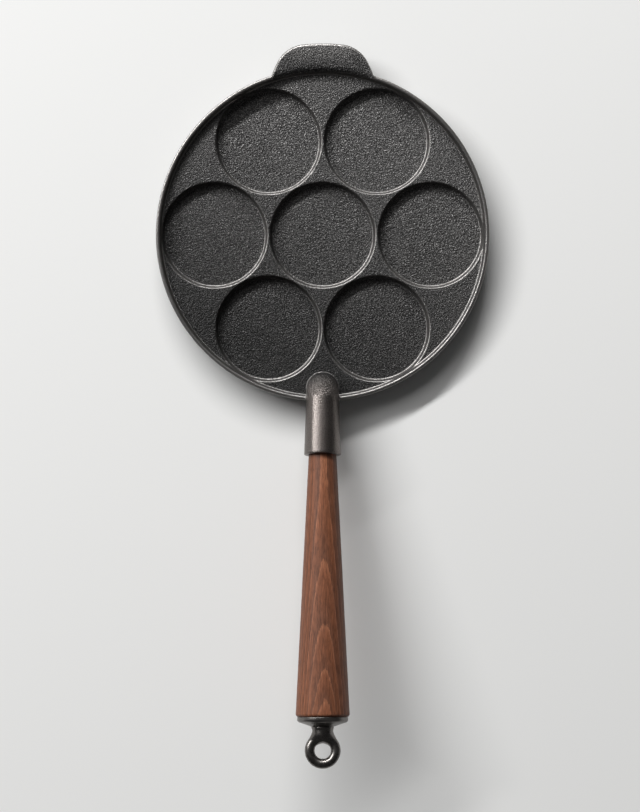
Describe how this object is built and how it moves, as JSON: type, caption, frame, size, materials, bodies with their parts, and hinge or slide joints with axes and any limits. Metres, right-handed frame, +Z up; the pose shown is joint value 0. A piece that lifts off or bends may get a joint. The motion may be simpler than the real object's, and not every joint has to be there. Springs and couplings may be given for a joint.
{
  "type": "pancake pan",
  "caption": "Round cast-iron pan with shallow round recesses for small pancakes, a short tab, and a wooden grip on a steel rod with an end cap and a hanging eye.",
  "frame": {"origin": "Centre of the pan's flat base, on the plane it stands on.", "axes": "+Z up, +Y from the centre to the tab, the handle along -Y rising 9 degrees, +X to the right when the handle points at the user."},
  "size_m": [0.23, 0.492, 0.0681],
  "materials": {
    "cast_iron": "seasoned sand-cast iron with a fine grain, smoother on the socket",
    "walnut": "oiled walnut, long grain",
    "zinc_steel": "plain zinc-plated threaded rod",
    "dark_steel": "dark burnished steel, smooth"
  },
  "bodies": {
    "pan": {"pan_casting": "cast_iron", "handle_grip": "walnut", "tie_rod": "zinc_steel"},
    "cap": {"end_cap": "dark_steel"},
    "eye": {"hanging_eye": "dark_steel"}
  },
  "joints": [
    {"name": "cap_slide", "type": "slide", "parent": "pan", "child": "cap", "axis": [0, -0.9877, 0.1564], "range_m": [0, 0.00625]},
    {"name": "eye_screw", "type": "hinge", "parent": "cap", "child": "eye", "pos_m": [0, -0.33334, 0.05158], "axis": [0, -0.9877, 0.1564], "range_deg": [0, 1800.2]}
  ],
  "couplings": [
    {"joint": "eye_screw", "follows": "cap_slide", "rad_per_m": 5026.5}
  ]
}
